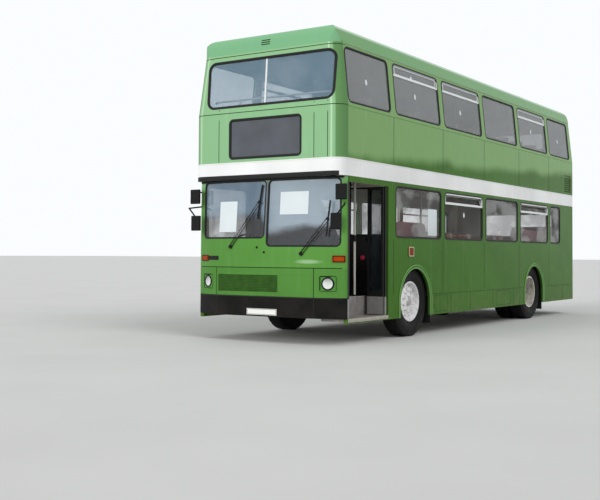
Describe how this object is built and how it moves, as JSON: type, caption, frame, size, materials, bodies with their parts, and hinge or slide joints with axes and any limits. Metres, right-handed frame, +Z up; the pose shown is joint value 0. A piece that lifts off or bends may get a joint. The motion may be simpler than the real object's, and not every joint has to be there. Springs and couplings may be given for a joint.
{
  "type": "double deck bus",
  "caption": "Rear-engined double deck bus with a folding entrance door beside the driver, steering front wheels and opening exits.",
  "frame": {"origin": "on the ground, midway along the body and midway across it", "axes": "+X forwards, +Y to the left (entrance side), +Z up"},
  "size_m": [9.738, 2.65, 4.39],
  "materials": {
    "green_paint": "gloss",
    "white_paint": "gloss",
    "black_paint": "satin",
    "roof_paint": "gloss",
    "clear_glass": "polished",
    "screen_glass": "polished",
    "blind_glass": "polished",
    "aluminium_frame": "satin",
    "grille_paint": "satin",
    "lamp_glass": "polished",
    "amber_lens": "polished",
    "red_lens": "polished",
    "plate_white": "satin",
    "black_plastic": "satin",
    "chassis_paint": "satin",
    "floor_vinyl": "matt",
    "step_trim": "satin",
    "box_paint": "matt",
    "interior_laminate": "satin",
    "cab_trim": "satin",
    "seat_cloth": "matt",
    "rail_paint": "gloss",
    "engine_paint": "satin",
    "mudflap_rubber": "matt",
    "tyre_rubber": "matt",
    "front_wheel_paint": "gloss",
    "rear_wheel_paint": "gloss",
    "knuckle_steel": "satin"
  },
  "bodies": {
    "root": {"chassis_frame": "chassis_paint", "lower_floor": "floor_vinyl", "nearside_lower_wall": "green_paint", "offside_lower_wall": "green_paint", "front_lower_panel": "green_paint", "rear_lower_panel": "green_paint", "cantrail_band": "white_paint", "upper_floor": "floor_vinyl", "rear_floor": "floor_vinyl", "entrance_step": "step_trim", "wheel_boxes": "box_paint", "nearside_upper_wall": "green_paint", "offside_upper_wall": "green_paint", "upper_front_panel": "green_paint", "upper_rear_panel": "green_paint", "roof": "roof_paint", "side_windows": "clear_glass", "front_windows": "screen_glass", "window_frames": "aluminium_frame", "destination_glass": "blind_glass", "front_bumper": "black_paint", "front_grille": "grille_paint", "headlamps": "lamp_glass", "indicators": "amber_lens", "tail_lamps": "red_lens", "number_plates": "plate_white", "mirrors": "black_plastic", "wipers": "black_plastic", "cab_dashboard": "cab_trim", "cab_partition": "interior_laminate", "staircase": "interior_laminate", "lower_seats": "seat_cloth", "upper_seats": "seat_cloth", "grab_rails": "rail_paint", "engine_block": "engine_paint", "front_axle": "chassis_paint", "rear_axle": "chassis_paint", "mudflaps": "mudflap_rubber"},
    "left_knuckle": {"left_knuckle": "knuckle_steel"},
    "right_knuckle": {"right_knuckle": "knuckle_steel"},
    "front_left_wheel": {"front_left_tyre": "tyre_rubber", "front_left_rim": "front_wheel_paint"},
    "front_right_wheel": {"front_right_tyre": "tyre_rubber", "front_right_rim": "front_wheel_paint"},
    "rear_left_wheels": {"rear_left_tyres": "tyre_rubber", "rear_left_rims": "rear_wheel_paint"},
    "rear_right_wheels": {"rear_right_tyres": "tyre_rubber", "rear_right_rims": "rear_wheel_paint"},
    "front_outer_leaf": {"front_door_outer_leaf": "black_plastic"},
    "front_inner_leaf": {"front_door_inner_leaf": "black_plastic"},
    "rear_outer_leaf": {"rear_door_outer_leaf": "black_plastic"},
    "rear_inner_leaf": {"rear_door_inner_leaf": "black_plastic"},
    "emergency_door": {"emergency_door": "green_paint"},
    "engine_cover": {"engine_cover": "green_paint"},
    "upper_rear_exit": {"upper_rear_exit": "green_paint"},
    "cab_door": {"cab_door": "interior_laminate"}
  },
  "joints": [
    {"name": "steer_left", "type": "hinge", "parent": "root", "child": "left_knuckle", "pos_m": [2.67, 0.9, 0.52], "axis": [0, 0, 1], "range_deg": [-40, 40]},
    {"name": "steer_right", "type": "hinge", "parent": "root", "child": "right_knuckle", "pos_m": [2.67, -0.9, 0.52], "axis": [0, 0, 1], "range_deg": [-40, 40]},
    {"name": "front_left_wheel_spin", "type": "hinge", "parent": "left_knuckle", "child": "front_left_wheel", "pos_m": [2.67, 1.045, 0.52], "axis": [0, 1, 0], "continuous": true},
    {"name": "front_right_wheel_spin", "type": "hinge", "parent": "right_knuckle", "child": "front_right_wheel", "pos_m": [2.67, -1.045, 0.52], "axis": [0, 1, 0], "continuous": true},
    {"name": "rear_left_wheels_spin", "type": "hinge", "parent": "root", "child": "rear_left_wheels", "pos_m": [-2.38, 0.88, 0.52], "axis": [0, 1, 0], "continuous": true},
    {"name": "rear_right_wheels_spin", "type": "hinge", "parent": "root", "child": "rear_right_wheels", "pos_m": [-2.38, -0.88, 0.52], "axis": [0, 1, 0], "continuous": true},
    {"name": "front_leaves_close", "type": "hinge", "parent": "root", "child": "front_outer_leaf", "pos_m": [4.61, 1.215, 1.2], "axis": [0, 0, -1], "range_deg": [0, 90]},
    {"name": "front_leaves_fold", "type": "hinge", "parent": "front_outer_leaf", "child": "front_inner_leaf", "pos_m": [4.591, 0.95825, 1.2], "axis": [0, 0, -1], "range_deg": [-180, 0]},
    {"name": "rear_leaves_close", "type": "hinge", "parent": "root", "child": "rear_outer_leaf", "pos_m": [3.575, 1.215, 1.2], "axis": [0, 0, 1], "range_deg": [0, 90]},
    {"name": "rear_leaves_fold", "type": "hinge", "parent": "rear_outer_leaf", "child": "rear_inner_leaf", "pos_m": [3.594, 0.95825, 1.2], "axis": [0, 0, 1], "range_deg": [-180, 0]},
    {"name": "emergency_door_swing", "type": "hinge", "parent": "root", "child": "emergency_door", "pos_m": [-3.263, -1.254, 1.5], "axis": [0, 0, 1], "range_deg": [0, 100]},
    {"name": "engine_cover_lift", "type": "hinge", "parent": "root", "child": "engine_cover", "pos_m": [-4.849, 0, 1.387], "axis": [0, 1, 0], "range_deg": [0, 75]},
    {"name": "rear_exit_lift", "type": "hinge", "parent": "root", "child": "upper_rear_exit", "pos_m": [-4.83119, 0, 3.957], "axis": [0, 1, 0], "range_deg": [0, 70]},
    {"name": "cab_door_swing", "type": "hinge", "parent": "root", "child": "cab_door", "pos_m": [3.563, -0.146, 1.1], "axis": [0, 0, 1], "range_deg": [0, 90]}
  ],
  "couplings": [
    {"joint": "steer_right", "follows": "steer_left", "ratio": 1},
    {"joint": "front_leaves_fold", "follows": "front_leaves_close", "ratio": -2},
    {"joint": "rear_leaves_fold", "follows": "rear_leaves_close", "ratio": -2}
  ]
}
